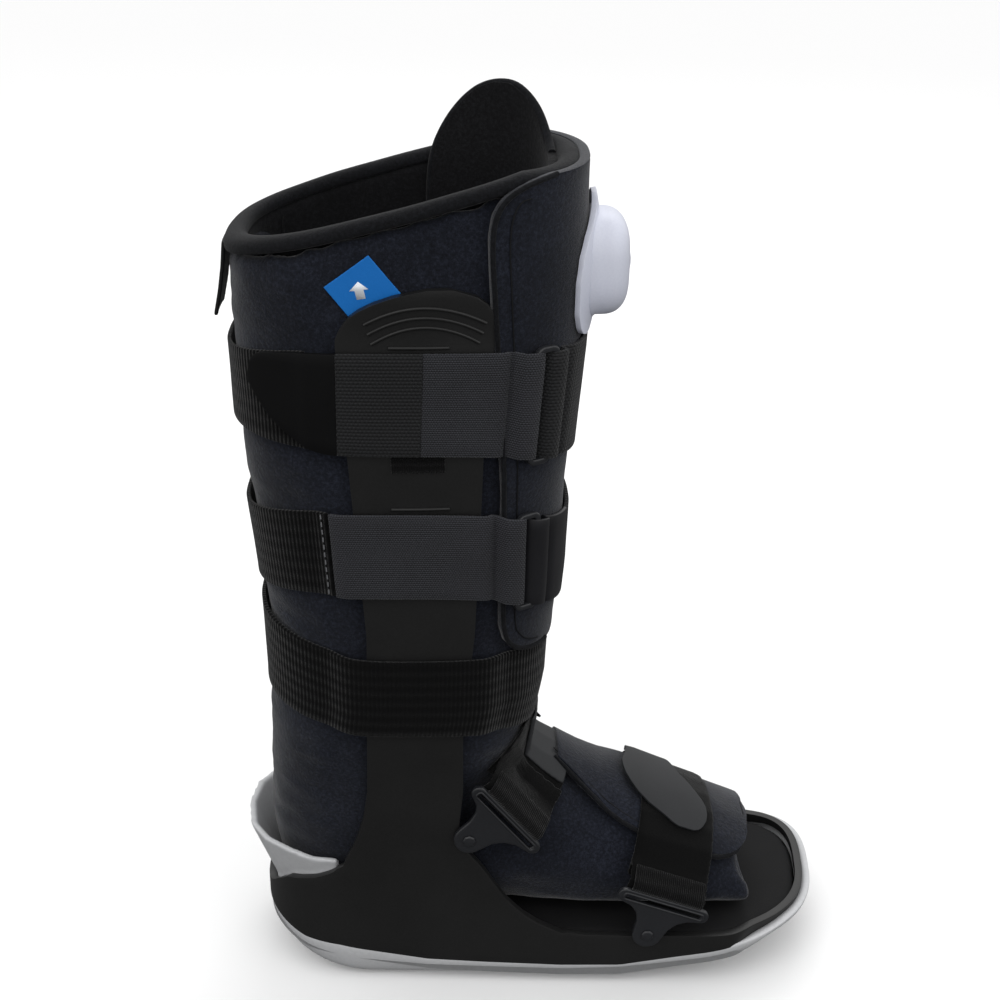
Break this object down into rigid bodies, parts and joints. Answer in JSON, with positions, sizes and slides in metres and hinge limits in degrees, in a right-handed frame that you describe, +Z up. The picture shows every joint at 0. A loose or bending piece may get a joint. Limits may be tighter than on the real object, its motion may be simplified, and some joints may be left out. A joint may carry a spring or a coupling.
{
  "type": "walking boot",
  "caption": "Tall medical walking boot: rocker sole, moulded shell with side uprights, padded open-toe liner, straps and an air pump on the front flap.",
  "frame": {"origin": "ground point under the middle of the uprights, on the sole's middle plane", "axes": "+Z up, +X towards the toe, +Y towards the inner side of the right leg"},
  "size_m": [0.3147, 0.133, 0.4582],
  "materials": {
    "fleece": "napped navy charcoal",
    "lining": "soft dark pile",
    "binding": "stitched edge binding",
    "moulding": "satin black",
    "pale_rubber": "matt pale grey",
    "pale_plastic": "satin pale grey",
    "foot_bed": "matt dark grey",
    "webbing": "woven",
    "loop_pile": "ribbed black pile",
    "smooth_tab": "smooth coated grey",
    "hardware": "satin dark grey",
    "tag": "printed blue"
  },
  "bodies": {
    "root": {"outsole": "pale_rubber", "shell": "moulding", "heel_collar": "pale_rubber", "insole": "foot_bed", "liner": "fleece", "liner_trim": "binding", "inner_flap": "lining", "outer_flap": "fleece", "foot_flap": "fleece", "pump_plate": "pale_plastic", "pump_bulb": "pale_plastic", "pull_tag": "tag", "back_tab": "webbing", "strap_top_band": "webbing", "strap_top_tail": "webbing", "strap_top_ring": "hardware", "strap_mid_band": "webbing", "strap_mid_tail": "webbing", "strap_mid_ring": "hardware", "strap_low": "loop_pile", "ankle_strap": "webbing", "ankle_tab": "smooth_tab", "ankle_bracket_near": "hardware", "ankle_pin_near": "hardware", "ankle_bracket_far": "hardware", "ankle_pin_far": "hardware", "fore_strap": "webbing", "fore_tab": "smooth_tab", "fore_bracket_near": "hardware", "fore_pin_near": "hardware", "fore_bracket_far": "hardware", "fore_pin_far": "hardware"}
  },
  "joints": []
}
